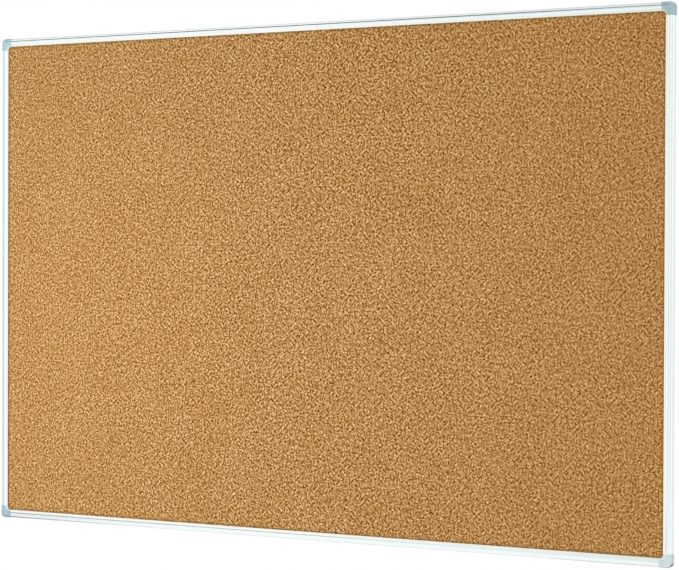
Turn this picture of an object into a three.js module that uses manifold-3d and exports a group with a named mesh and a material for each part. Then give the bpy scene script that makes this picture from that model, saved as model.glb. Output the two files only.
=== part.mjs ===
// Cork notice board for a wall: a laminated cork panel in a slim extruded frame with moulded
// corners, two hangers that slide along the back of the top rail and two rubber wall pads.
//
// Millimetres. X runs along the width, Z up the height and Y through the depth. The cork faces
// -Y and the wall plane is Y = 0. The origin is the centre of the board on the wall plane.

import * as THREE from 'three';
import { mergeVertices } from 'three/addons/utils/BufferGeometryUtils.js';
import Module from 'manifold-3d';

const wasm = await Module();
wasm.setup();

// Board: overall size over the rails
const boardWidth = 900;
const boardHeight = 600;

// Panel: cork on soft fibreboard, closed by a thin sheet
const corkThickness = 2;
const coreThickness = 2.4;
const backingThickness = 0.3;
const glueLine = 0.05;
const panelPlay = 0.1; // between the panel's faces and the lips that hold it
const panelEdgePlay = 0.2; // between the panel's edge and the rail behind the lip

// Rail section: a rounded shoulder, a raised band and a lip make the face that shows
const railFace = 9.4; // from the outer edge to the edge of the lip
const shoulderWidth = 2.4; // from the outer edge to the foot of the raised band
const shoulderRadius = 1.2;
const bandWidth = 3.8; // between the feet of its two slopes
const bandSlope = 1; // width of each slope
const bandHeight = 0.55;
const bandArch = 0.05; // rise of the band's middle over its edges
const lipFall = 0.15; // the face falls this far from the band to the lip's edge
const lipThickness = 1;
const lipEdgeRadius = 0.4;
const rearEdgeRadius = 1.6;
const outerWall = 1.1;
const chamberWidth = 5.1; // the hollow that the corner legs plug into
const webThickness = 0.8;
const rearLipThickness = 0.7;
const rearLipReach = 2; // past the web, behind the panel
const slotHeight = 1.1; // the slot behind the chamber that the hangers slide in
const slotMouth = 2.6;
const flangeThickness = 0.9;

// Corner moulding
const cornerArm = 14; // length along each rail that shows
const cornerProud = 0.5; // past the rails, outside and in front
const cornerLipProud = 0.3; // past the rails' lip, towards the cork
const cornerOutsideRadius = 5;
const cornerInsideRadius = 3.3;
const cornerEdgeRadius = 1.8;
const bandTurnRadius = 2.1; // outside radius of the raised band's foot where it turns the corner
const pocketWall = 1.4; // round the cored pocket in the back
const pocketFloor = 2;
const legLength = 26; // past the arm, inside the rail
const legClearance = 0.3;
const legTipTaper = 1.2;
const legTipLength = 4;
const barbCount = 4;
const barbStartShare = 0.4; // of the pitch between barbs
const barbRise = 0.15;
const barbLength = 1.6;

// Corner screws
const screwSetback = 13; // from the rail's end
const screwShankRadius = 1;
const screwLength = 7; // under the head
const screwTipLength = 1.5;
const screwHeadRadius = 2.3;
const screwHeadHeight = 1.1;
const screwHeadEdge = 0.5; // height of the head's straight side
const screwHoleClearance = 0.3;
const recessLength = 2.4;
const recessWidth = 0.6;
const recessDepth = 0.6;

// Hangers
const hangerSpacing = 600; // between the two, as stored
const hangerPlateWidth = 22;
const hangerPlateHeight = 34;
const hangerPlateThickness = 1.2;
const hangerPlateRadius = 3;
const hangerTopInset = 1; // from the board's top edge down to the plate
const hangerGap = 0.15; // between the plate and the rail
const hangerFootLength = 20;
const hangerFootPlay = 0.25; // foot to the sides of the slot
const hangerFootHeightPlay = 0.15;
const hangerNeckPlay = 0.2;
const keyholeRadius = 4.2; // lets the wall screw's head in
const keyholeSlotRadius = 2.2; // rides on its shank
const keyholeBottomWall = 3.8; // from the plate's lower edge to the round hole
const keyholeRise = 9.5; // from the round hole's centre up to the slot's end

// Wall pads
const padLength = 16;
const padEdgeInset = 0.4; // from the rail's inner rear edge
const padPlace = 60; // from the board's side edge to the pad's centre
const padBevel = 0.3;

const archSteps = 4;
const edgeSteps = 5;
const roundSteps = 6;
const screwSegments = 20;
const cutOverrun = 1; // how far every cutting body runs past what it cuts

// Sizes that follow from those above
const panelThickness = corkThickness + coreThickness + backingThickness + 2 * glueLine;
const grooveDepth = panelThickness + 2 * panelPlay;
const standOff = hangerPlateThickness + hangerGap;
const rearY = -standOff; // back of the rails
const slotFloorY = rearY - flangeThickness;
const rearLipBackY = slotFloorY - slotHeight;
const rearLipFrontY = rearLipBackY - rearLipThickness;
const grooveFrontY = rearLipFrontY - grooveDepth;
const lipFrontY = grooveFrontY - lipThickness;
const shoulderY = lipFrontY - lipFall;
const bandEdgeY = shoulderY - bandHeight;
const frontY = bandEdgeY - bandArch;
const cornerFaceY = shoulderY - cornerProud;
const panelInset = outerWall + chamberWidth + webThickness + panelEdgePlay;
const chamberMiddle = outerWall + chamberWidth / 2;
const railBack = outerWall + chamberWidth + webThickness; // width of the rail's rear face
const screwPlace = cornerArm + screwSetback; // from the board's edge

const aluminium = new THREE.MeshStandardMaterial({ color: 0xe3e8e9, roughness: 0.32, metalness: 0.9 });
const cornerPlastic = new THREE.MeshStandardMaterial({ color: 0x9dbfca, roughness: 0.5, metalness: 0 });
const cork = new THREE.MeshStandardMaterial({ color: 0xc39660, roughness: 0.9, metalness: 0 });
const softboard = new THREE.MeshStandardMaterial({ color: 0xa98c68, roughness: 0.95, metalness: 0 });
const kraft = new THREE.MeshStandardMaterial({ color: 0xa8845c, roughness: 0.85, metalness: 0 });
const zinc = new THREE.MeshStandardMaterial({ color: 0xc4c8cb, roughness: 0.35, metalness: 1 });
const rubber = new THREE.MeshStandardMaterial({ color: 0x2b2c2e, roughness: 0.8, metalness: 0 });

const quarterTurn = Math.PI / 2;

function point(x, y) {
  return new THREE.Vector2(x, y);
}

function arc(centreX, centreY, radius, from, to, steps) {
  const points = [];
  for (let step = 0; step <= steps; step += 1) {
    const angle = from + (to - from) * (step / steps);
    points.push(point(centreX + radius * Math.cos(angle), centreY + radius * Math.sin(angle)));
  }
  return points;
}

function extrude(outline, depth, holes = []) {
  const shape = new THREE.Shape(outline);
  for (const hole of holes) {
    shape.holes.push(new THREE.Path(hole));
  }
  return new THREE.ExtrudeGeometry(shape, { depth, bevelEnabled: false });
}

// An outline drawn in X and Z becomes a body whose back lies in the plane Y = back.
function standUp(geometry, back) {
  geometry.rotateX(quarterTurn);
  geometry.translate(0, back, 0);
  return geometry;
}

// A section drawn in Z (as its x) and Y becomes a bar along X, centred on X = 0.
function layAlongX(geometry, length) {
  geometry.translate(0, 0, -length / 2);
  geometry.rotateY(-quarterTurn);
  return geometry;
}

function roundedRectangle(width, height, radius) {
  const x = width / 2 - radius;
  const y = height / 2 - radius;
  return [
    ...arc(x, -y, radius, -quarterTurn, 0, roundSteps),
    ...arc(x, y, radius, 0, quarterTurn, roundSteps),
    ...arc(-x, y, radius, quarterTurn, 2 * quarterTurn, roundSteps),
    ...arc(-x, -y, radius, 2 * quarterTurn, 3 * quarterTurn, roundSteps),
  ];
}

// Joins and cuts on closed bodies
function toSolid(geometry) {
  const bare = geometry.clone();
  bare.deleteAttribute('normal');
  bare.deleteAttribute('uv');
  const merged = mergeVertices(bare);
  return new wasm.Manifold(new wasm.Mesh({
    numProp: 3,
    vertProperties: new Float32Array(merged.attributes.position.array),
    triVerts: new Uint32Array(merged.index.array),
  }));
}

function toGeometry(solid) {
  const mesh = solid.getMesh();
  const geometry = new THREE.BufferGeometry();
  geometry.setAttribute('position', new THREE.BufferAttribute(mesh.vertProperties, 3));
  geometry.setIndex(new THREE.BufferAttribute(mesh.triVerts, 1));
  const faceted = geometry.toNonIndexed();
  faceted.computeVertexNormals();
  return faceted;
}

function join(first, ...others) {
  return others.reduce((whole, other) => whole.add(toSolid(other)), toSolid(first));
}

function cut(solid, ...tools) {
  return tools.reduce((rest, tool) => rest.subtract(toSolid(tool)), solid);
}

function box(lowX, lowY, lowZ, highX, highY, highZ) {
  const geometry = new THREE.BoxGeometry(highX - lowX, highY - lowY, highZ - lowZ);
  geometry.translate((lowX + highX) / 2, (lowY + highY) / 2, (lowZ + highZ) / 2);
  return geometry;
}

// A round cutting body along Y
function rod(radius, x, z, lowY, highY) {
  const geometry = new THREE.CylinderGeometry(radius, radius, highY - lowY, screwSegments);
  geometry.translate(x, (lowY + highY) / 2, z);
  return geometry;
}

const board = new THREE.Group();

function addPiece(parent, name, geometry, material) {
  const mesh = new THREE.Mesh(geometry, material);
  mesh.name = name;
  parent.add(mesh);
  return mesh;
}

// A group on one side or corner of the board: its X runs along the board's edge and its Z points
// from that edge at the board's middle.
function sideGroup(turns, x, z) {
  const group = new THREE.Group();
  group.rotation.y = turns * quarterTurn;
  group.position.set(x, 0, z);
  board.add(group);
  return group;
}

// Panel

function addPanel() {
  const width = boardWidth - 2 * panelInset;
  const height = boardHeight - 2 * panelInset;
  const layers = [
    ['cork_sheet', corkThickness, cork],
    ['softboard_core', coreThickness, softboard],
    ['backing_sheet', backingThickness, kraft],
  ];
  let front = grooveFrontY + panelPlay;
  for (const [name, thickness, material] of layers) {
    const layer = addPiece(board, name, new THREE.BoxGeometry(width, thickness, height), material);
    layer.position.y = front + thickness / 2;
    front += thickness + glueLine;
  }
}

// Rails: the section has the shoulder, the raised band and the lip in front, the chamber for the
// corner legs, the rear lip behind the panel and the slot for the hangers.

// The raised band's arch, from its outer edge to its inner edge
function bandCrown() {
  const half = bandWidth / 2 - bandSlope;
  const radius = (half * half + bandArch * bandArch) / (2 * bandArch);
  const tilt = Math.asin(half / radius);
  const middle = shoulderWidth + bandWidth / 2;
  return arc(middle, frontY + radius, radius, -quarterTurn - tilt, -quarterTurn + tilt, archSteps);
}

function railSection() {
  const outerMouth = chamberMiddle - slotMouth / 2;
  const innerMouth = chamberMiddle + slotMouth / 2;
  const chamberEnd = outerWall + chamberWidth;
  const rearCentreY = rearY - rearEdgeRadius;
  const shoulderCentreY = shoulderY + shoulderRadius;
  const lipCentreY = lipFrontY + lipEdgeRadius;
  return [
    ...arc(rearEdgeRadius, rearCentreY, rearEdgeRadius, quarterTurn, 2 * quarterTurn, edgeSteps),
    ...arc(shoulderRadius, shoulderCentreY, shoulderRadius, -2 * quarterTurn, -quarterTurn, roundSteps),
    point(shoulderWidth, shoulderY),
    ...bandCrown(),
    point(shoulderWidth + bandWidth, shoulderY),
    ...arc(railFace - lipEdgeRadius, lipCentreY, lipEdgeRadius, -quarterTurn, 0, edgeSteps),
    point(railFace, grooveFrontY),
    point(railBack, grooveFrontY),
    point(railBack, rearLipFrontY),
    point(railBack + rearLipReach, rearLipFrontY),
    point(railBack + rearLipReach, rearLipBackY),
    point(railBack, rearLipBackY),
    point(railBack, rearY),
    point(innerMouth, rearY),
    point(innerMouth, slotFloorY),
    point(chamberEnd, slotFloorY),
    point(chamberEnd, rearLipBackY),
    point(outerWall, rearLipBackY),
    point(outerWall, slotFloorY),
    point(outerMouth, slotFloorY),
    point(outerMouth, rearY),
  ];
}

function railGeometry(length) {
  const chamber = [
    point(outerWall, grooveFrontY),
    point(outerWall + chamberWidth, grooveFrontY),
    point(outerWall + chamberWidth, rearLipFrontY),
    point(outerWall, rearLipFrontY),
  ];
  const bar = layAlongX(extrude(railSection(), length, [chamber]), length);
  const holeX = length / 2 - screwSetback;
  const holeRadius = screwShankRadius + screwHoleClearance;
  const lowY = rearLipFrontY - cutOverrun;
  const highY = rearLipBackY + slotHeight / 2;
  const holes = [-holeX, holeX].map((x) => rod(holeRadius, x, chamberMiddle, lowY, highY));
  return toGeometry(cut(toSolid(bar), ...holes));
}

// Corner mouldings: an arm over each rail's end with the rails' raised band carried round the
// bend, a leg from each arm into the rail's chamber, a pocket cored from the back and a seat for
// the panel's corner.

// An L that runs past the ends of both arms, from its outer edges to its inner ones
function cornerOutline(outer, inner, outsideRadius, insideRadius) {
  const reach = cornerArm + cornerEdgeRadius + cutOverrun;
  const outside = outer + outsideRadius;
  const inside = inner + insideRadius;
  return [
    ...arc(outside, outside, outsideRadius, 2 * quarterTurn, 3 * quarterTurn, roundSteps * 2),
    point(reach, outer),
    point(reach, inner),
    ...arc(inside, inside, insideRadius, 3 * quarterTurn, 2 * quarterTurn, roundSteps),
    point(inner, reach),
    point(outer, reach),
  ];
}

function cornerBody() {
  const inner = railFace + cornerLipProud;
  const outline = cornerOutline(-cornerProud, inner, cornerOutsideRadius, cornerInsideRadius);
  const geometry = new THREE.ExtrudeGeometry(new THREE.Shape(outline), {
    depth: rearY - cornerFaceY - 2 * cornerEdgeRadius,
    bevelThickness: cornerEdgeRadius,
    bevelSize: cornerEdgeRadius,
    bevelOffset: -cornerEdgeRadius,
    bevelSegments: edgeSteps,
  });
  geometry.translate(0, 0, cornerEdgeRadius);
  return standUp(geometry, rearY);
}

function cornerBand() {
  const inner = shoulderWidth + bandWidth;
  const insideRadius = cornerInsideRadius + railFace + cornerLipProud - inner;
  const outline = cornerOutline(shoulderWidth, inner, bandTurnRadius, insideRadius);
  const rise = bandHeight + bandArch;
  const root = pocketFloor / 2;
  const geometry = new THREE.ExtrudeGeometry(new THREE.Shape(outline), {
    depth: root,
    bevelThickness: rise,
    bevelSize: bandSlope,
    bevelOffset: -bandSlope,
    bevelSegments: 1,
  });
  return standUp(geometry, cornerFaceY + root);
}

function legGeometry() {
  const half = chamberWidth / 2 - legClearance;
  const end = cornerArm + legLength;
  const pitch = (legLength - legTipLength) / barbCount;
  const side = [point(cornerArm - cutOverrun, half)];
  for (let barb = 0; barb < barbCount; barb += 1) {
    const start = cornerArm + pitch * (barb + barbStartShare);
    side.push(point(start, half), point(start, half + barbRise), point(start + barbLength, half));
  }
  side.push(point(end - legTipLength, half), point(end, half - legTipTaper));
  const mirrored = side.map((place) => point(place.x, -place.y)).reverse();
  const thickness = grooveDepth - 2 * legClearance;
  return standUp(extrude([...side, ...mirrored], thickness), rearLipFrontY - legClearance);
}

function cornerGeometry() {
  const alongX = legGeometry();
  alongX.translate(0, 0, chamberMiddle);
  const alongZ = legGeometry();
  alongZ.rotateY(-quarterTurn);
  alongZ.translate(chamberMiddle, 0, 0);

  const far = cornerArm + 2 * (cornerEdgeRadius + cutOverrun);
  const near = -cornerProud - cutOverrun;
  const before = frontY - cornerProud - cutOverrun;
  const behind = rearY + cutOverrun;
  const pastArmX = box(cornerArm, before, near, far, behind, far);
  const pastArmZ = box(near, before, cornerArm, far, behind, far);
  const seat = box(railBack, grooveFrontY, railBack, far, rearLipFrontY, far);
  const pocketSize = railBack - 2 * pocketWall;
  const pocketDepth = rearY - frontY - pocketFloor;
  const pocketShape = roundedRectangle(pocketSize, pocketSize, pocketWall / 2);
  const pocket = standUp(extrude(pocketShape, pocketDepth + cutOverrun), rearY + cutOverrun);
  pocket.translate(railBack / 2, 0, railBack / 2);

  const holeRadius = screwShankRadius + screwHoleClearance;
  const holes = [
    rod(holeRadius, screwPlace, chamberMiddle, frontY, rearLipFrontY),
    rod(holeRadius, chamberMiddle, screwPlace, frontY, rearLipFrontY),
  ];
  const arms = cut(join(cornerBody(), cornerBand()), pastArmX, pastArmZ, seat, pocket);
  const legs = join(alongX, alongZ);
  return toGeometry(cut(arms.add(legs), ...holes));
}

// Corner screws: pan heads with a cross recess, seated on the two flanges of the rail's slot.

function screwGeometry() {
  const profile = [
    point(0, -screwLength),
    point(screwShankRadius, -screwLength + screwTipLength),
    point(screwShankRadius, 0),
    point(screwHeadRadius, 0),
    point(screwHeadRadius, screwHeadEdge),
  ];
  const domeHeight = screwHeadHeight - screwHeadEdge;
  for (let step = 1; step < edgeSteps; step += 1) {
    const angle = quarterTurn * (step / edgeSteps);
    const radius = screwHeadRadius * Math.cos(angle);
    profile.push(point(radius, screwHeadEdge + domeHeight * Math.sin(angle)));
  }
  profile.push(point(0, screwHeadHeight));
  const body = new THREE.LatheGeometry(profile, screwSegments);
  const floor = screwHeadHeight - recessDepth;
  const top = screwHeadHeight + cutOverrun;
  const long = recessLength / 2;
  const narrow = recessWidth / 2;
  const slots = [
    box(-long, floor, -narrow, long, top, narrow),
    box(-narrow, floor, -long, narrow, top, long),
  ];
  return toGeometry(cut(toSolid(body), ...slots));
}

const sides = [
  { name: 'bottom', turns: 0, x: 0, z: -boardHeight / 2, length: boardWidth },
  { name: 'right', turns: -1, x: boardWidth / 2, z: 0, length: boardHeight },
  { name: 'top', turns: 2, x: 0, z: boardHeight / 2, length: boardWidth },
  { name: 'left', turns: 1, x: -boardWidth / 2, z: 0, length: boardHeight },
];

const corners = [
  { name: 'bottom_left', turns: 0, x: -boardWidth / 2, z: -boardHeight / 2 },
  { name: 'bottom_right', turns: -1, x: boardWidth / 2, z: -boardHeight / 2 },
  { name: 'top_right', turns: 2, x: boardWidth / 2, z: boardHeight / 2 },
  { name: 'top_left', turns: 1, x: -boardWidth / 2, z: boardHeight / 2 },
];

function addRails() {
  for (const side of sides) {
    const group = sideGroup(side.turns, side.x, side.z);
    addPiece(group, `rail_${side.name}`, railGeometry(side.length - 2 * cornerArm), aluminium);
  }
}

function addCorners() {
  const moulding = cornerGeometry();
  const screw = screwGeometry();
  for (const corner of corners) {
    const group = sideGroup(corner.turns, corner.x, corner.z);
    addPiece(group, `corner_${corner.name}`, moulding, cornerPlastic);
    const first = addPiece(group, `corner_screw_${corner.name}_1`, screw, zinc);
    first.position.set(screwPlace, rearY, chamberMiddle);
    const second = addPiece(group, `corner_screw_${corner.name}_2`, screw, zinc);
    second.position.set(chamberMiddle, rearY, screwPlace);
  }
}

// Hangers: a plate with a keyhole behind the board, a neck through the slot's mouth and a foot in
// the slot. Here Z points down, from the board's top edge.

function keyholeOutline(centreZ) {
  const narrow = keyholeSlotRadius;
  const wide = keyholeRadius;
  const opening = Math.asin(narrow / wide);
  const slotEnd = centreZ - keyholeRise + narrow;
  return [
    ...arc(0, centreZ, wide, -quarterTurn + opening, 3 * quarterTurn - opening, roundSteps * 4),
    ...arc(0, slotEnd, narrow, 2 * quarterTurn, 4 * quarterTurn, roundSteps * 2),
  ];
}

function hangerGeometry() {
  const middle = hangerTopInset + hangerPlateHeight / 2;
  const outline = roundedRectangle(hangerPlateWidth, hangerPlateHeight, hangerPlateRadius);
  const placed = outline.map((place) => point(place.x, place.y + middle));
  const keyholeZ = hangerTopInset + hangerPlateHeight - keyholeBottomWall - keyholeRadius;
  const plate = standUp(extrude(placed, hangerPlateThickness, [keyholeOutline(keyholeZ)]), 0);

  const half = hangerFootLength / 2;
  const neck = slotMouth / 2 - hangerNeckPlay;
  const foot = chamberWidth / 2 - hangerFootPlay;
  const footBackY = slotFloorY - hangerFootHeightPlay;
  const footFrontY = rearLipBackY + hangerFootHeightPlay;
  const plateMiddleY = -hangerPlateThickness / 2;
  const neckBody = box(-half, footBackY, chamberMiddle - neck, half, plateMiddleY, chamberMiddle + neck);
  const footBody = box(-half, footFrontY, chamberMiddle - foot, half, footBackY, chamberMiddle + foot);
  return toGeometry(join(plate, neckBody, footBody));
}

function addHangers() {
  const hanger = hangerGeometry();
  const group = sideGroup(2, 0, boardHeight / 2);
  const left = addPiece(group, 'hanger_left', hanger, zinc);
  left.position.x = hangerSpacing / 2;
  const right = addPiece(group, 'hanger_right', hanger, zinc);
  right.position.x = -hangerSpacing / 2;
}

// Wall pads: stuck on the bottom rail's rear flanges, as thick as the hangers stand off.

function padGeometry() {
  const width = railBack - rearEdgeRadius - padEdgeInset;
  const shape = new THREE.Shape(roundedRectangle(padLength, width, width / 2));
  const geometry = new THREE.ExtrudeGeometry(shape, {
    depth: standOff - 2 * padBevel,
    bevelThickness: padBevel,
    bevelSize: padBevel,
    bevelOffset: -padBevel,
    bevelSegments: 2,
  });
  geometry.translate(0, 0, padBevel);
  standUp(geometry, 0);
  geometry.translate(0, 0, rearEdgeRadius + width / 2);
  return geometry;
}

function addPads() {
  const pad = padGeometry();
  const group = sideGroup(0, 0, -boardHeight / 2);
  const left = addPiece(group, 'wall_pad_left', pad, rubber);
  left.position.x = padPlace - boardWidth / 2;
  const right = addPiece(group, 'wall_pad_right', pad, rubber);
  right.position.x = boardWidth / 2 - padPlace;
}

addPanel();
addRails();
addCorners();
addHangers();
addPads();

export default board;
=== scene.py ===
"""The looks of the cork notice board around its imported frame: materials, new sheets, camera and light."""

import math

import bpy
import numpy as np
from mathutils import Matrix, Vector


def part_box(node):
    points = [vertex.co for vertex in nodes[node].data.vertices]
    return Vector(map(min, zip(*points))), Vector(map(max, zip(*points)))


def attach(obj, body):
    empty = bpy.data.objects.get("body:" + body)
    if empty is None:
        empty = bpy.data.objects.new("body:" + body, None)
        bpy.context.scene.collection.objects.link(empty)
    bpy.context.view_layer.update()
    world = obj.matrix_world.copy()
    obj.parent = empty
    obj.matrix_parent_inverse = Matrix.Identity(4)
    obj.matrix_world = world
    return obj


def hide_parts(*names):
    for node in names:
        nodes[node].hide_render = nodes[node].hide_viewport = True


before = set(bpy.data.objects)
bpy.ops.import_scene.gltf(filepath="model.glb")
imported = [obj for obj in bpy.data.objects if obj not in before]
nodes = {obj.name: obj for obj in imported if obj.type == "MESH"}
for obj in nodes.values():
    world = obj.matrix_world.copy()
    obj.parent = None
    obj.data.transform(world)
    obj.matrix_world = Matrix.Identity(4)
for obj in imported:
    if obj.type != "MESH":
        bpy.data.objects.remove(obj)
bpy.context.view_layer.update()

MM = 0.001
SEED = 20517

# The camera, from the straight edges of the frame in the photograph.
CAMERA_PLACE = (1.3540, -2.2623, 0.0286)
CAMERA_YAW = math.radians(30.227)
CAMERA_PITCH = math.radians(-0.711)
CAMERA_ROLL = math.radians(0.207)
CAMERA_LENS = 120.20
CAMERA_SENSOR = 36.0
CAMERA_CLIP = (0.05, 60)

# The inner edges of the four lips, where the visible cork ends.
LIP_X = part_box("rail_right")[0].x
LIP_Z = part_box("rail_top")[0].z

# The inner edge of the corner mouldings, as in the CAD source.
CORNER_LIP_PROUD = 0.3 * MM
CORNER_INSIDE_RADIUS = 3.3 * MM

# The cork's grid: its step, how far the lines beside its border lie from there, and how far its points
# stray, as a share of a step.
CORK_STEP = 2.42 * MM
CORK_BORDER_LINES = [0.0, 1.7 * MM, 2.3 * MM, 2.9 * MM, 3.6 * MM, 5.0 * MM]
CORK_JITTER = 0.3

# The cork's relief: pits, small bumps, and a groove that the lips press in beside them. It has no pits and
# bumps from a certain distance under the lips.
PIT_DEPTH = 0.20 * MM
PIT_SHARE = 0.28
PIT_POWER = 1.5
BUMP_HEIGHT = 0.07 * MM
GROOVE_DEPTH = 0.45 * MM
GROOVE_INSET = 0.5 * MM
GROOVE_HALF_WIDTH = 0.9 * MM
COVERED_FROM = 0.3 * MM

# The backing board: its grid, and its waves, which rise from a level border.
BACKING_COLUMNS = 150
BACKING_ROWS = 100
WAVE_COUNT = 9
WAVE_STEEPNESS = 24
WAVE_PHASE = 6.28
WAVE_HEIGHT = 0.35 * MM
WAVE_BORDER = 12 * MM
WAVE_RISE = 40 * MM

# Smooth shading welds points this close, and keeps edges that turn by more than these degrees.
WELD_DISTANCE = 0.000002
PROFILE_ANGLE = 20
OTHER_ANGLE = 40

# The floor is a disc of rings that turns white between the two fade distances.
FLOOR_Z = -0.78
FLOOR_SIDES = 96
FLOOR_RINGS = [0.6, 1.2, 1.8, 2.4]
FLOOR_FADE = (0.9, 2.3)

WORLD_LIGHT_COLOR = (1.0, 0.97, 0.93, 1.0)
WORLD_LIGHT_STRENGTH = 0.30
WHITE = (1.0, 1.0, 1.0)
MIDDLE = (0.0, 0.0, 0.0)

# The planes that most of the reflected cards lie in, and the tint of all of them.
CARD_ABOVE_Z = 1.6
CARD_UNDER_Z = -0.42
CARD_FRONT_Y = -3.2
CARD_TINT = (0.96, 1.0, 1.005)

# The four mouldings are one plastic, whose tones differ a little as painted light and shade: the bottom
# right one is the palest, a painted highlight.
CORNER_PAINTED_LIGHT_TONES = {
    "corner_top_left": ((181, 210, 212), (191, 218, 219)),
    "corner_top_right": ((172, 199, 204), (182, 208, 212)),
    "corner_bottom_left": ((170, 194, 197), (181, 204, 206)),
    "corner_bottom_right": ((213, 229, 232), (223, 237, 239)),
}


def tone(red, green, blue):
    """A colour that is written as it shows on a screen, as the linear colour that the shaders take."""
    def linear(value):
        share = value / 255
        return share / 12.92 if share <= 0.04045 else ((share + 0.055) / 1.055) ** 2.4
    return (linear(red), linear(green), linear(blue), 1.0)


def grey(share):
    """A linear grey."""
    return (share, share, share, 1.0)


# Materials


class Shader:
    """One node material, with short calls for the nodes that its pattern needs."""

    def __init__(self, name, color, roughness, metallic=0.0, specular=0.5):
        self.material = bpy.data.materials.new(name)
        self.material.use_nodes = True
        self.tree = self.material.node_tree
        self.tree.nodes.clear()
        self.out = self.tree.nodes.new("ShaderNodeOutputMaterial")
        self.surface = self.tree.nodes.new("ShaderNodeBsdfPrincipled")
        self.link(self.surface.outputs[0], self.out.inputs["Surface"])
        self.surface.inputs["Base Color"].default_value = color
        self.surface.inputs["Roughness"].default_value = roughness
        self.surface.inputs["Metallic"].default_value = metallic
        self.surface.inputs["Specular IOR Level"].default_value = specular
        self.place = self.tree.nodes.new("ShaderNodeTexCoord").outputs["Object"]

    def link(self, source, target):
        self.tree.links.new(source, target)

    def set(self, socket, value):
        """Gives a socket a value, or the output of another node."""
        if isinstance(value, bpy.types.NodeSocket):
            self.link(value, socket)
        else:
            socket.default_value = value

    def vector(self, operation, first, second=(0.0, 0.0, 0.0)):
        node = self.tree.nodes.new("ShaderNodeVectorMath")
        node.operation = operation
        self.set(node.inputs[0], first)
        self.set(node.inputs[1], second)
        return node.outputs["Value" if operation == "LENGTH" else "Vector"]

    def stretch(self, vector, scale):
        return self.vector("MULTIPLY", vector, scale)

    def turn(self, vector, degrees):
        """Turned about Y, the axis through the board."""
        node = self.tree.nodes.new("ShaderNodeVectorRotate")
        node.rotation_type = "Y_AXIS"
        self.link(vector, node.inputs["Vector"])
        node.inputs["Angle"].default_value = math.radians(degrees)
        return node.outputs[0]

    def math(self, operation, first, second=0.0):
        node = self.tree.nodes.new("ShaderNodeMath")
        node.operation = operation
        self.set(node.inputs[0], first)
        self.set(node.inputs[1], second)
        return node.outputs[0]

    def weigh(self, *pairs):
        """The sum of values that are given in pairs with their weights."""
        total = None
        for value, weight in pairs:
            product = self.math("MULTIPLY", value, weight)
            total = product if total is None else self.math("ADD", total, product)
        return total

    def noise(self, vector, scale, detail=2.0, rough=0.5, color=False):
        node = self.tree.nodes.new("ShaderNodeTexNoise")
        self.link(vector, node.inputs["Vector"])
        node.inputs["Scale"].default_value = scale
        node.inputs["Detail"].default_value = detail
        node.inputs["Roughness"].default_value = rough
        return node.outputs["Color" if color else "Fac"]

    def cells(self, vector, scale, feature="F1"):
        node = self.tree.nodes.new("ShaderNodeTexVoronoi")
        node.feature = feature
        self.link(vector, node.inputs["Vector"])
        node.inputs["Scale"].default_value = scale
        return node.outputs

    def part(self, color, index):
        """One of the three parts of a colour."""
        node = self.tree.nodes.new("ShaderNodeSeparateColor")
        self.link(color, node.inputs[0])
        return node.outputs[index]

    def remap(self, value, low, high, to_low=0.0, to_high=1.0):
        """A value between low and high, as one between to_low and to_high that never goes past them."""
        node = self.tree.nodes.new("ShaderNodeMapRange")
        self.link(value, node.inputs["Value"])
        node.inputs["From Min"].default_value = low
        node.inputs["From Max"].default_value = high
        node.inputs["To Min"].default_value = to_low
        node.inputs["To Max"].default_value = to_high
        return node.outputs[0]

    def ramp(self, value, stops):
        node = self.tree.nodes.new("ShaderNodeValToRGB")
        elements = node.color_ramp.elements
        while len(elements) < len(stops):
            elements.new(0.5)
        for element, (place, color) in zip(elements, stops):
            element.position = place
            element.color = color
        self.link(value, node.inputs[0])
        return node.outputs[0]

    def mix(self, share, first, second):
        node = self.tree.nodes.new("ShaderNodeMix")
        node.data_type = "RGBA"
        self.set(node.inputs["Factor"], share)
        self.set(node.inputs[6], first)
        self.set(node.inputs[7], second)
        return node.outputs[2]

    def tint(self, base, share, strength, color):
        """A colour that goes towards another by a share times a strength."""
        return self.mix(self.math("MULTIPLY", share, strength), base, color)

    def axis(self, name):
        """One coordinate of the shaded point."""
        node = self.tree.nodes.new("ShaderNodeSeparateXYZ")
        self.link(self.place, node.inputs[0])
        return node.outputs[name]

    def reach(self):
        """How far a point lies outside the visible cork, which ends at the lips; negative on the cork."""
        beside = self.math("SUBTRACT", self.math("ABSOLUTE", self.axis("X")), LIP_X)
        above = self.math("SUBTRACT", self.math("ABSOLUTE", self.axis("Z")), LIP_Z)
        return self.math("MAXIMUM", beside, above)

    def corner_reach(self):
        """How far a point lies outside the round inner edge of the nearest corner moulding.

        The centre's 1 m in Y leaves the depth out: no point of the board lies so far from the wall."""
        inset = CORNER_LIP_PROUD + CORNER_INSIDE_RADIUS
        centre = (LIP_X - inset, 1.0, LIP_Z - inset)
        past = self.vector("SUBTRACT", self.vector("ABSOLUTE", self.place), centre)
        distance = self.vector("LENGTH", self.vector("MAXIMUM", past))
        return self.math("SUBTRACT", distance, CORNER_INSIDE_RADIUS)

    def color(self, source):
        self.link(source, self.surface.inputs["Base Color"])

    def roughness(self, source):
        self.link(source, self.surface.inputs["Roughness"])

    def bump(self, height, depth, strength):
        node = self.tree.nodes.new("ShaderNodeBump")
        node.inputs["Strength"].default_value = strength
        node.inputs["Distance"].default_value = depth
        self.link(height, node.inputs["Height"])
        self.link(node.outputs[0], self.surface.inputs["Normal"])

    def glow(self, color):
        node = self.tree.nodes.new("ShaderNodeEmission")
        node.inputs["Color"].default_value = color
        return node.outputs[0]


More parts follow.
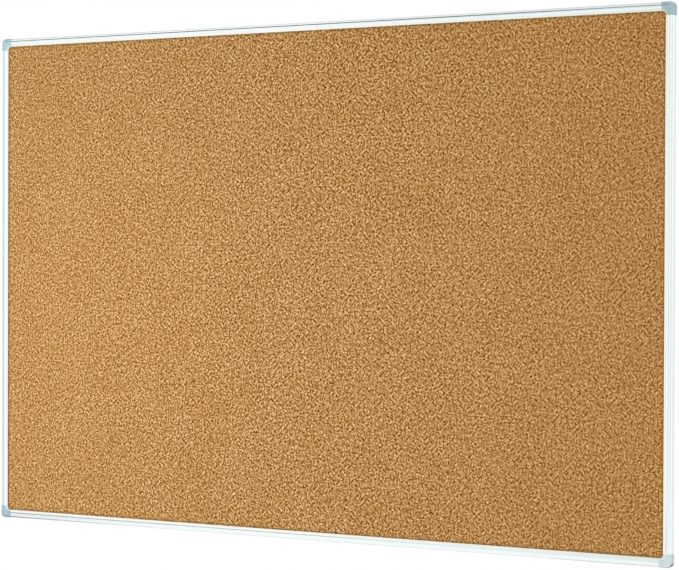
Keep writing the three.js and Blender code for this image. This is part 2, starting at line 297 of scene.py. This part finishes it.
def cork_material():
    """Pressed cork granules of 1 to 4 mm, with dark bark specks and a dark line beside the lips: real shade
    from a groove in the relief, and painted shade in the colour.

    The grain is strongest in the middle and calmest at the right, as in the photograph."""
    granules = 600
    crumbs = 1500
    swirls = 430
    wander_width = 1.6 * MM
    lightest = 2.2
    m = Shader("granulated_cork", tone(190, 142, 85), 1.0, specular=0.05)
    wander = m.stretch(m.noise(m.place, swirls, color=True), (wander_width, wander_width, wander_width))
    place = m.vector("ADD", m.place, wander)
    pick = m.remap(m.part(m.cells(place, granules)["Color"], 0), 0.0, 1.0, 0.80, 1.20)
    flat_place = m.stretch(m.turn(m.place, 45), (1.0, 0.0, 1.0))
    worm = m.remap(m.noise(flat_place, swirls, detail=0.0), 0.2, 0.8, 0.25, 1.75)
    seam = m.remap(m.cells(place, granules, "DISTANCE_TO_EDGE")["Distance"], 0.0, 0.12, 0.84, 1.0)
    fine = m.remap(m.part(m.cells(place, crumbs)["Color"], 1), 0.0, 1.0, 0.86, 1.14)
    cloud = m.remap(m.noise(m.place, 16, detail=3.0), 0.3, 0.7, 0.97, 1.03)
    grains = m.math("MULTIPLY", worm, pick)
    marks = m.math("MULTIPLY", m.math("MULTIPLY", seam, fine), cloud)
    swing = m.math("SUBTRACT", m.math("MULTIPLY", grains, marks), 1.0)
    left_share = m.remap(m.axis("X"), -0.40, -0.05, 0.88, 1.05)
    right_share = m.remap(m.axis("X"), 0.08, 0.38, 1.0, 0.79)
    contrast = m.math("MULTIPLY", left_share, right_share)
    light = m.math("ADD", m.math("MULTIPLY", swing, contrast), 1.0)
    base = m.ramp(m.math("DIVIDE", light, lightest), [
        (0.09, tone(86, 34, 2)),
        (0.18, tone(121, 69, 9)),
        (0.32, tone(162, 111, 50)),
        (0.45, tone(193, 144, 84)),
        (0.59, tone(215, 171, 114)),
        (0.73, tone(233, 195, 141)),
        (0.91, tone(248, 218, 172)),
    ])
    # Painted shade: the colour darkens towards a grey brown in the last 3 mm before the lips, where their
    # shadow falls.
    edge = m.remap(m.reach(), -3.0 * MM, -1.0 * MM)
    m.color(m.tint(base, edge, 0.46, tone(104, 91, 68)))
    m.bump(m.weigh((seam, 0.5), (fine, 0.5)), 0.22 * MM, 0.8)
    return m.material


def kraft_material():
    """Brown backing board: short paper fibres and a few darker flecks."""
    m = Shader("kraft_board", tone(168, 132, 92), 0.85, specular=0.3)
    fibre = m.noise(m.stretch(m.place, (1.0, 1.0, 0.16)), 900, detail=4.0, rough=0.65)
    cross = m.noise(m.stretch(m.place, (0.2, 1.0, 1.0)), 700, detail=3.0, rough=0.6)
    cloud = m.noise(m.place, 9, detail=4.0, rough=0.6)
    share = m.weigh((fibre, 0.5), (cross, 0.3), (cloud, 0.2))
    base = m.ramp(m.remap(share, 0.3, 0.7), [
        (0.0, tone(143, 107, 70)),
        (0.5, tone(170, 134, 94)),
        (1.0, tone(192, 158, 117)),
    ])
    fleck = m.remap(m.noise(m.place, 310), 0.70, 0.76)
    m.color(m.tint(base, fleck, 0.55, tone(98, 68, 42)))
    m.roughness(m.remap(fibre, 0.3, 0.7, 0.92, 0.78))
    m.bump(share, 0.06 * MM, 0.6)
    return m.material


def softboard_material():
    """Soft fibreboard, with strands that lie along the sheet."""
    m = Shader("soft_fibreboard", tone(169, 140, 104), 0.95, specular=0.2)
    strands = m.noise(m.stretch(m.place, (1.0, 3.0, 1.0)), 650, detail=5.0, rough=0.7)
    m.color(m.ramp(m.remap(strands, 0.3, 0.7), [
        (0.0, tone(128, 100, 68)),
        (1.0, tone(194, 165, 126)),
    ]))
    m.bump(strands, 0.3 * MM, 0.8)
    return m.material


def rail_material(name, along):
    """Silver anodised aluminium, with the fine lines of the extrusion along the axis of that number.

    The band of each rail beside the cork gets a painted reflection of the cork: a cream tint in its colour."""
    m = Shader(name, tone(248, 251, 251), 0.27, metallic=1.0)
    drawn_out = m.stretch(m.place, tuple(0.006 if axis == along else 1.0 for axis in range(3)))
    lines = m.noise(drawn_out, 5200, detail=3.0, rough=0.6)
    broad = m.noise(drawn_out, 1400)
    haze = m.noise(m.place, 34, detail=3.0)
    base = m.mix(m.remap(lines, 0.35, 0.65), tone(247, 252, 252), tone(250, 254, 254))
    # Painted reflection of the cork: the colour turns cream on the band beside the cork.
    painted_cork_reflection = m.remap(m.reach(), 2.6 * MM, 1.0 * MM)
    m.color(m.tint(base, painted_cork_reflection, 0.9, tone(255, 247, 227)))
    m.roughness(m.remap(m.weigh((lines, 0.6), (haze, 0.4)), 0.3, 0.7, 0.15, 0.21))
    m.bump(m.math("ADD", lines, broad), 0.0015 * MM, 0.5)
    return m.material


def plastic_material(name, darker, lighter):
    """Light blue-grey moulded plastic with a little metallic pigment and a fine spark-eroded texture.

    The rounded edge beside the cork gets a painted highlight: a cream tint in the colour."""
    m = Shader(name, darker, 0.25, metallic=0.6, specular=0.15)
    grain = m.noise(m.place, 2600, detail=3.0, rough=0.6)
    flow = m.noise(m.place, 120)
    base = m.mix(m.remap(flow, 0.35, 0.65), darker, lighter)
    # Painted highlight: the colour turns cream along the rounded edge beside the cork.
    painted_lip_highlight = m.remap(m.corner_reach(), 2.2 * MM, 1.2 * MM)
    m.color(m.tint(base, painted_lip_highlight, 0.75, tone(246, 240, 226)))
    m.roughness(m.remap(grain, 0.3, 0.7, 0.20, 0.28))
    m.bump(grain, 0.004 * MM, 0.5)
    return m.material


def zinc_material(name, scale):
    """Zinc plating: a cool grey with a faint crystal pattern and rubbed spots."""
    m = Shader(name, tone(196, 200, 203), 0.34, metallic=1.0)
    pick = m.part(m.cells(m.place, scale)["Color"], 0)
    smear = m.noise(m.place, scale * 0.4, detail=3.0)
    m.color(m.mix(pick, tone(188, 193, 197), tone(207, 210, 211)))
    m.roughness(m.remap(m.weigh((pick, 0.5), (smear, 0.5)), 0.2, 0.8, 0.26, 0.44))
    m.bump(m.noise(m.place, scale * 4), 0.01 * MM, 0.4)
    return m.material


def rubber_material():
    """Black rubber with a little dust."""
    m = Shader("black_rubber", tone(44, 45, 47), 0.7)
    dust = m.noise(m.place, 800, detail=4.0, rough=0.65)
    m.color(m.mix(m.remap(dust, 0.45, 0.75), tone(40, 41, 43), tone(72, 71, 69)))
    m.roughness(m.remap(dust, 0.3, 0.7, 0.6, 0.85))
    m.bump(dust, 0.03 * MM, 0.6)
    return m.material


# Smooth shading


def smooth_group(name, degrees):
    """Welds a faceted solid and shades it smooth, apart from edges that turn by more than degrees."""
    group = bpy.data.node_groups.new(name, "GeometryNodeTree")
    group.interface.new_socket("Geometry", in_out="INPUT", socket_type="NodeSocketGeometry")
    group.interface.new_socket("Geometry", in_out="OUTPUT", socket_type="NodeSocketGeometry")
    start = group.nodes.new("NodeGroupInput")
    end = group.nodes.new("NodeGroupOutput")
    weld = group.nodes.new("GeometryNodeMergeByDistance")
    weld.inputs["Distance"].default_value = WELD_DISTANCE
    angle = group.nodes.new("GeometryNodeInputMeshEdgeAngle")
    sharp = group.nodes.new("FunctionNodeCompare")
    sharp.data_type = "FLOAT"
    sharp.operation = "GREATER_THAN"
    sharp.inputs[1].default_value = math.radians(degrees)
    normals = group.nodes.new("GeometryNodeSetMeshNormal")
    normals.mode = "SHARPNESS"
    normals.inputs["Remove Custom"].default_value = True
    group.links.new(start.outputs[0], weld.inputs[0])
    group.links.new(weld.outputs[0], normals.inputs["Mesh"])
    group.links.new(angle.outputs["Unsigned Angle"], sharp.inputs[0])
    group.links.new(sharp.outputs[0], normals.inputs["Edge Sharpness"])
    group.links.new(normals.outputs[0], end.inputs[0])
    return group


# New pieces


def new_object(name, vertices, faces, material):
    """A smooth-shaded mesh in the scene."""
    mesh = bpy.data.meshes.new(name)
    mesh.from_pydata(vertices, [], faces)
    mesh.validate()
    mesh.materials.append(material)
    mesh.polygons.foreach_set("use_smooth", [True] * len(mesh.polygons))
    made = bpy.data.objects.new(name, mesh)
    bpy.context.scene.collection.objects.link(made)
    return made


def slab_with_relief(name, node, columns, rows, relief, front, material, jitter, random):
    """A closed sheet in the place of a CAD node, whose face on the side given by front has a relief.

    columns and rows are the places of the grid's lines. relief(x, z, random) gives how far points
    stand out."""
    low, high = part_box(node)
    face_y = low.y if front else high.y
    back_y = high.y if front else low.y
    sign = -1 if front else 1
    x, z = np.meshgrid(columns, rows)
    wide = len(columns)
    tall = len(rows)
    step_x = np.gradient(columns)[None, :] * np.ones((tall, 1))
    step_z = np.gradient(rows)[:, None] * np.ones((1, wide))
    inside = np.zeros((tall, wide))
    inside[1:-1, 1:-1] = 1
    x = x + inside * jitter * step_x * random.uniform(-1, 1, x.shape)
    z = z + inside * jitter * step_z * random.uniform(-1, 1, z.shape)
    y = face_y + sign * relief(x, z, random) * inside
    points = np.stack([x.ravel(), y.ravel(), z.ravel()], 1)
    index = np.arange(wide * tall).reshape(tall, wide)
    a = index[:-1, :-1].ravel()
    b = index[:-1, 1:].ravel()
    c = index[1:, 1:].ravel()
    d = index[1:, :-1].ravel()
    quads = np.stack([a, b, c, d] if front else [d, c, b, a], 1)
    rim = np.concatenate([index[0, :-1], index[:-1, -1], index[-1, :0:-1], index[:0:-1, 0]])
    behind = points[rim].copy()
    behind[:, 1] = back_y
    first = len(points)
    count = len(rim)
    around = np.arange(count)
    following = (around + 1) % count
    sides = np.stack([rim[around], first + around, first + following, rim[following]], 1)
    if not front:
        sides = sides[:, ::-1]
    lid = list(range(first, first + count))
    if front:
        lid.reverse()
    faces = quads.tolist() + sides.tolist() + [lid]
    return new_object(name, np.concatenate([points, behind]).tolist(), faces, material)


def lines_between(low, high, step, close):
    """Places of grid lines from low to high: close ones beside both ends, then about a step apart."""
    count = round((high - close[-1] - (low + close[-1])) / step)
    inner = np.linspace(low + close[-1], high - close[-1], count + 1)
    start = [low + share for share in close[:-1]]
    end = [high - share for share in reversed(close[:-1])]
    return np.concatenate([start, inner, end])


def cork_relief(x, z, random):
    """Sanded granules: mostly level, with shallow pits, and pressed down beside the lips."""
    height = random.uniform(0, 1, x.shape)
    pits = -PIT_DEPTH * np.clip((height - (1 - PIT_SHARE)) / PIT_SHARE, 0, 1) ** PIT_POWER
    bumps = BUMP_HEIGHT * random.uniform(-1, 1, x.shape)
    reach = np.maximum(np.abs(x) - LIP_X, np.abs(z) - LIP_Z)
    groove = -GROOVE_DEPTH * np.clip(1 - np.abs(reach + GROOVE_INSET) / GROOVE_HALF_WIDTH, 0, 1)
    shown = np.where(reach > COVERED_FROM, 0.0, 1.0)
    return (pits + bumps) * shown + groove


def sheet_waves(x, z, random):
    """The slight waves of a thin glued sheet, level at its border."""
    low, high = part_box("backing_sheet")
    wave = np.zeros(x.shape)
    for _ in range(WAVE_COUNT):
        across = random.uniform(-WAVE_STEEPNESS, WAVE_STEEPNESS)
        up = random.uniform(-WAVE_STEEPNESS, WAVE_STEEPNESS)
        wave += np.sin(across * x + up * z + random.uniform(0, WAVE_PHASE))
    wave = 0.5 + wave / WAVE_COUNT
    rim = np.minimum(np.minimum(x - low.x, high.x - x), np.minimum(z - low.z, high.z - z))
    return WAVE_HEIGHT * wave * np.clip((rim - WAVE_BORDER) / WAVE_RISE, 0, 1)


def add_cork(material):
    """The face of granulated cork, in place of the plain slab."""
    low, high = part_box("cork_sheet")
    columns = lines_between(low.x, high.x, CORK_STEP, CORK_BORDER_LINES)
    rows = lines_between(low.z, high.z, CORK_STEP, CORK_BORDER_LINES)
    random = np.random.RandomState(SEED)
    piece = slab_with_relief(
        "cork_face", "cork_sheet", columns, rows, cork_relief, True, material, CORK_JITTER, random
    )
    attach(piece, "board")
    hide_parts("cork_sheet")


def add_backing(material):
    """The slightly wavy backing board, in place of the plain sheet."""
    low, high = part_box("backing_sheet")
    columns = np.linspace(low.x, high.x, BACKING_COLUMNS)
    rows = np.linspace(low.z, high.z, BACKING_ROWS)
    random = np.random.RandomState(SEED + 1)
    piece = slab_with_relief(
        "backing_board", "backing_sheet", columns, rows, sheet_waves, False, material, 0.0, random
    )
    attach(piece, "board")
    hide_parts("backing_sheet")


# The looks of each node


def dress():
    """Gives each CAD node its material and smooth shading, and adds the two new sheets."""
    rail_across = rail_material("anodised_aluminium_across", 0)
    rail_upright = rail_material("anodised_aluminium_upright", 2)
    screw = zinc_material("zinc_plated_screw", 1800)
    plate = zinc_material("zinc_plated_plate", 700)
    look = {
        "softboard_core": softboard_material(),
        "rail_top": rail_across,
        "rail_bottom": rail_across,
        "rail_left": rail_upright,
        "rail_right": rail_upright,
    }
    # Each moulding gets its own copy of the plastic, in tones that paint the light and shade on it.
    for name, (darker, lighter) in CORNER_PAINTED_LIGHT_TONES.items():
        look[name] = plastic_material(name + "_plastic", tone(*darker), tone(*lighter))
    rubber = rubber_material()
    for name in nodes:
        if name.startswith("corner_screw"):
            look[name] = screw
        elif name.startswith("hanger"):
            look[name] = plate
        elif name.startswith("wall_pad"):
            look[name] = rubber
    crisp = smooth_group("smooth_shading_profile", PROFILE_ANGLE)
    soft = smooth_group("smooth_shading", OTHER_ANGLE)
    for name, material in look.items():
        nodes[name].material_slots[0].material = material
        shading = nodes[name].modifiers.new("smooth_shading", "NODES")
        shading.node_group = crisp if name.startswith(("rail", "corner")) else soft
    add_cork(cork_material())
    add_backing(kraft_material())


# Camera, world, floor, lamps and cards


def add_camera():
    """The camera of the photograph."""
    data = bpy.data.cameras.new("camera")
    data.lens = CAMERA_LENS
    data.sensor_width = CAMERA_SENSOR
    data.clip_start, data.clip_end = CAMERA_CLIP
    camera = bpy.data.objects.new("camera", data)
    forward = Vector((
        -math.sin(CAMERA_YAW) * math.cos(CAMERA_PITCH),
        math.cos(CAMERA_YAW) * math.cos(CAMERA_PITCH),
        math.sin(CAMERA_PITCH),
    ))
    level = Vector((math.cos(CAMERA_YAW), math.sin(CAMERA_YAW), 0))
    upright = level.cross(forward)
    right = level * math.cos(CAMERA_ROLL) + upright * math.sin(CAMERA_ROLL)
    up = right.cross(forward)
    turn = Matrix((right, up, -forward)).transposed().to_4x4()
    camera.matrix_world = Matrix.Translation(CAMERA_PLACE) @ turn
    bpy.context.scene.collection.objects.link(camera)
    bpy.context.scene.camera = camera


def aim_at(thing, place, aim, front):
    """Puts a lamp or card at a place and turns the axis that is its front to its aim."""
    thing.location = place
    thing.rotation_mode = "QUATERNION"
    thing.rotation_quaternion = (Vector(aim) - Vector(place)).to_track_quat(front, "Y")


def add_lamp(name, place, aim, size, watts, color):
    """A rectangular lamp that neither the camera nor reflections see."""
    data = bpy.data.lights.new(name, "AREA")
    data.shape = "RECTANGLE"
    data.size, data.size_y = size
    data.energy = watts
    data.color = color
    lamp = bpy.data.objects.new(name, data)
    aim_at(lamp, place, aim, "-Z")
    lamp.visible_camera = False
    lamp.visible_glossy = False
    bpy.context.scene.collection.objects.link(lamp)


def backdrop_share(tree):
    """1 for the rays that see the background: from the camera, in a gloss or through glass."""
    path = tree.nodes.new("ShaderNodeLightPath")
    first = tree.nodes.new("ShaderNodeMath")
    first.operation = "MAXIMUM"
    second = tree.nodes.new("ShaderNodeMath")
    second.operation = "MAXIMUM"
    tree.links.new(path.outputs["Is Camera Ray"], first.inputs[0])
    tree.links.new(path.outputs["Is Glossy Ray"], first.inputs[1])
    tree.links.new(first.outputs[0], second.inputs[0])
    tree.links.new(path.outputs["Is Transmission Ray"], second.inputs[1])
    return second.outputs[0]


def add_world():
    """A soft light all round that shows as white."""
    world = bpy.data.worlds.new("studio")
    world.use_nodes = True
    tree = world.node_tree
    tree.nodes.clear()
    out = tree.nodes.new("ShaderNodeOutputWorld")
    mix = tree.nodes.new("ShaderNodeMixShader")
    soft = tree.nodes.new("ShaderNodeBackground")
    white = tree.nodes.new("ShaderNodeBackground")
    soft.inputs["Color"].default_value = WORLD_LIGHT_COLOR
    soft.inputs["Strength"].default_value = WORLD_LIGHT_STRENGTH
    white.inputs["Color"].default_value = grey(1.0)
    white.inputs["Strength"].default_value = 1.0
    tree.links.new(backdrop_share(tree), mix.inputs[0])
    tree.links.new(soft.outputs[0], mix.inputs[1])
    tree.links.new(white.outputs[0], mix.inputs[2])
    tree.links.new(mix.outputs[0], out.inputs["Surface"])
    bpy.context.scene.world = world


def floor_material():
    """A plain pale floor that fades into the white background far from the object."""
    m = Shader("pale_floor", grey(0.86), 0.9, specular=0.1)
    far = m.remap(m.vector("LENGTH", m.place), *FLOOR_FADE)
    share = m.math("MULTIPLY", far, backdrop_share(m.tree))
    blend = m.tree.nodes.new("ShaderNodeMixShader")
    m.link(share, blend.inputs[0])
    m.link(m.surface.outputs[0], blend.inputs[1])
    m.link(m.glow(grey(1.0)), blend.inputs[2])
    m.link(blend.outputs[0], m.out.inputs["Surface"])
    return m.material


def add_floor():
    """A disc on the floor level, in mesh code."""
    points = [(0.0, 0.0, FLOOR_Z)]
    for radius in FLOOR_RINGS:
        for turn in range(FLOOR_SIDES):
            angle = 2 * math.pi * turn / FLOOR_SIDES
            points.append((radius * math.cos(angle), radius * math.sin(angle), FLOOR_Z))
    faces = [(0, 1 + turn, 1 + (turn + 1) % FLOOR_SIDES) for turn in range(FLOOR_SIDES)]
    for ring in range(len(FLOOR_RINGS) - 1):
        inner = 1 + ring * FLOOR_SIDES
        outer = inner + FLOOR_SIDES
        for turn in range(FLOOR_SIDES):
            following = (turn + 1) % FLOOR_SIDES
            faces.append((inner + turn, outer + turn, outer + following, inner + following))
    floor = new_object("floor", points, faces, floor_material())


def facing_down(x, y):
    """The place and the aim of a card above the board."""
    return (x, y, CARD_ABOVE_Z), (x, y, 0.0)


def facing_up(x, y, z=CARD_UNDER_Z):
    """The place and the aim of a card under the board."""
    return (x, y, z), (x, y, 1.0)


def facing_back(x, z):
    """The place and the aim of a card far in front of the board."""
    return (x, CARD_FRONT_Y, z), (x, 0.0, z)


def add_card(name, place, aim, size, level):
    """A grey card that only reflections see: it draws the soft dark lines along the rails."""
    color = tuple(level * share for share in CARD_TINT) + (1.0,)
    m = Shader(name, color, 1.0)
    m.link(m.glow(color), m.out.inputs["Surface"])
    wide = size[0] / 2
    tall = size[1] / 2
    corners = [(-wide, -tall, 0), (wide, -tall, 0), (wide, tall, 0), (-wide, tall, 0)]
    card = new_object(name, corners, [(0, 1, 2, 3)], m.material)
    aim_at(card, place, aim, "Z")
    for seen_by in ("camera", "diffuse", "transmission", "shadow", "volume_scatter"):
        setattr(card, "visible_" + seen_by, False)


# Name, place, aim, size, watts and colour of each lamp.
LAMPS = [
    ("key", (-0.457, -1.0, -0.025), (0.04, 0.0, 0.0), (1.2, 0.3), 9.2, (0.90, 1.015, 1.15)),
    ("fill_right", (2.2, -2.0, 0.47), (0.1, 0.0, 0.0), (1.4, 1.4), 17.0, (1.07, 0.77, 0.58)),
    ("rear_left", (0.7, 2.0, 0.2), MIDDLE, (1.4, 1.0), 16.0, WHITE),
    ("rear_right", (-0.8, 1.9, -0.1), MIDDLE, (1.0, 1.0), 7.0, WHITE),
]

# Name, place and aim, size and level of each card.
CARDS = [
    ("card_above_left", facing_down(-1.80, -0.64), (0.6, 0.62), 0.20),
    ("card_above", facing_down(-0.925, -0.64), (1.15, 0.62), 0.05),
    ("card_above_right", facing_down(-0.075, -0.64), (0.55, 0.62), 0.25),
    ("card_above_behind_left", facing_down(-1.80, 0.135), (0.8, 0.93), 0.45),
    ("card_above_behind_right", facing_down(-0.05, 0.135), (0.5, 0.93), 0.45),
    ("card_above_front_far", facing_down(-2.615, -1.65), (0.57, 0.6), 0.0),
    ("card_above_front_left", facing_down(-2.125, -1.65), (0.41, 0.6), 0.32),
    ("card_above_front_middle", facing_down(-1.635, -1.65), (0.57, 0.6), 0.46),
    ("card_above_front_right", facing_down(-0.675, -1.65), (1.35, 0.6), 0.80),
    ("card_left", ((-2.2, 0.35, -0.01), (0.0, 0.35, -0.01)), (1.0, 1.06), 0.12),
    ("card_behind_left", ((-1.5, 1.5, 0.0), MIDDLE), (1.6, 1.6), 0.50),
    ("card_floor", facing_up(-0.8, -0.80, -0.73), (3.2, 1.5), 0.97),
    ("card_under_front", facing_up(-0.70, -0.236), (0.4, 0.30), 0.0),
    ("card_under_left", facing_up(-0.70, 0.45), (0.4, 0.952), 0.0),
    ("card_under_middle", facing_up(-0.44, 0.45), (0.12, 0.952), 0.35),
    ("card_under_right", facing_up(0.45, 0.302), (0.4, 0.656), 0.15),
    ("card_behind_right", ((1.0, 1.6, 0.0), (0.4, 0.0, 0.0)), (1.1, 1.6), 0.86),
    ("card_front_far", facing_back(-4.16, 0.0), (2.08, 2.2), 0.82),
    ("card_front_high", facing_back(-0.75, 0.875), (1.9, 0.85), 0.80),
    ("card_front_right", facing_back(-0.40, 0.20), (1.2, 0.50), 0.80),
    ("card_front_middle", facing_back(-0.40, -0.325), (1.2, 0.55), 0.77),
    ("card_front_lips", facing_back(-1.35, -0.075), (0.7, 1.05), 0.93),
    ("card_front_low", facing_back(-0.40, -0.95), (1.2, 0.70), 0.90),
]


def light():
    """Adds the lamps and the cards."""
    for lamp in LAMPS:
        add_lamp(*lamp)
    for name, (place, aim), size, level in CARDS:
        add_card(name, place, aim, size, level)


dress()
add_camera()
add_world()
add_floor()
light()

scene = bpy.context.scene
scene.view_settings.view_transform = "Standard"
